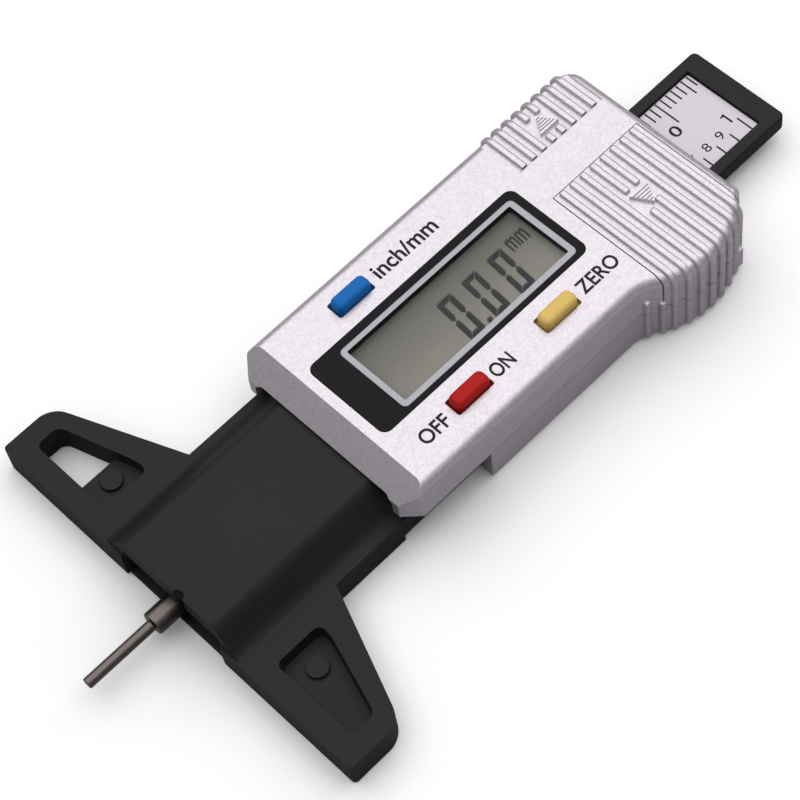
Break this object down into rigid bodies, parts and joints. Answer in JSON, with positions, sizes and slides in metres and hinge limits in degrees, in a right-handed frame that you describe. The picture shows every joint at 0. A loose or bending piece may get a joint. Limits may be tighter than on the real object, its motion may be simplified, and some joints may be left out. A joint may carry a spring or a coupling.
{
  "type": "digital tyre tread depth gauge",
  "caption": "Hand-held digital tyre tread depth gauge: T-shaped black foot and ruler, sliding silver display housing, needle, push buttons and slide-off battery cover.",
  "frame": {"origin": "middle of the bottom of the bounding box: on the back of the gauge, on its centre line, half way from needle tip to ruler end", "axes": "+X along the ruler from the needle to the free end of the ruler, +Y across the foot, +Z out of the display face"},
  "size_m": [0.1154, 0.0624, 0.0135],
  "materials": {
    "black_plastic": "fine moulded texture, satin black",
    "silver_plastic": "metallised silver lacquer over moulded plastic, satin",
    "window_black": "smooth black",
    "window_silver": "satin metallised strip",
    "window_clear": "clear moulded window",
    "lcd": "grey reflective liquid crystal display",
    "rubber_strip": "plain",
    "circuit_board": "green solder mask",
    "scale_label": "printed film, satin",
    "steel": "turned and brushed",
    "battery_steel": "drawn and polished",
    "brass": "plain",
    "button_blue": "smooth moulded",
    "button_red": "smooth moulded",
    "button_yellow": "smooth moulded"
  },
  "bodies": {
    "base": {"foot_and_neck": "black_plastic", "foot_back_plate": "black_plastic", "rivet_left": "black_plastic", "rivet_right": "black_plastic", "ruler_beam": "black_plastic", "sensor_strip": "circuit_board", "scale_label": "scale_label", "travel_stop_pin": "steel", "ruler_screw_1": "steel", "ruler_screw_2": "steel"},
    "slider": {"back_cover": "black_plastic", "battery": "battery_steel", "battery_contact_bottom": "brass", "battery_contact_side": "brass", "board_link": "black_plastic", "cover_screw_1": "steel", "cover_screw_2": "steel", "cover_screw_3": "steel", "cover_screw_4": "steel", "front_trim": "black_plastic", "gib_spring": "steel", "lcd_connector": "rubber_strip", "lcd_glass": "lcd", "lower_housing": "silver_plastic", "main_board": "circuit_board", "needle": "steel", "needle_holder": "steel", "push_rod": "steel", "read_head_board": "circuit_board", "rod_clamp": "brass", "switch_blue": "steel", "switch_red": "steel", "switch_yellow": "steel", "upper_housing": "silver_plastic", "window_bezel": "window_black", "window_border": "window_silver", "window_lens": "window_clear"},
    "blue_button": {"button_blue": "button_blue"},
    "red_button": {"button_red": "button_red"},
    "yellow_button": {"button_yellow": "button_yellow"},
    "battery_door": {"battery_cover": "silver_plastic"}
  },
  "joints": [
    {"name": "slider_slide", "type": "slide", "parent": "base", "child": "slider", "axis": [1, 0, 0], "range_m": [-0.0118, 0.0136]},
    {"name": "blue_button_press", "type": "slide", "parent": "slider", "child": "blue_button", "axis": [0, 0, -1], "range_m": [0, 0.0005], "stiffness_N_per_m": 1000},
    {"name": "red_button_press", "type": "slide", "parent": "slider", "child": "red_button", "axis": [0, 0, -1], "range_m": [0, 0.0005], "stiffness_N_per_m": 1000},
    {"name": "yellow_button_press", "type": "slide", "parent": "slider", "child": "yellow_button", "axis": [0, 0, -1], "range_m": [0, 0.0005], "stiffness_N_per_m": 1000},
    {"name": "battery_door_slide", "type": "slide", "parent": "slider", "child": "battery_door", "axis": [0, -1, 0], "range_m": [0, 0.014]}
  ]
}
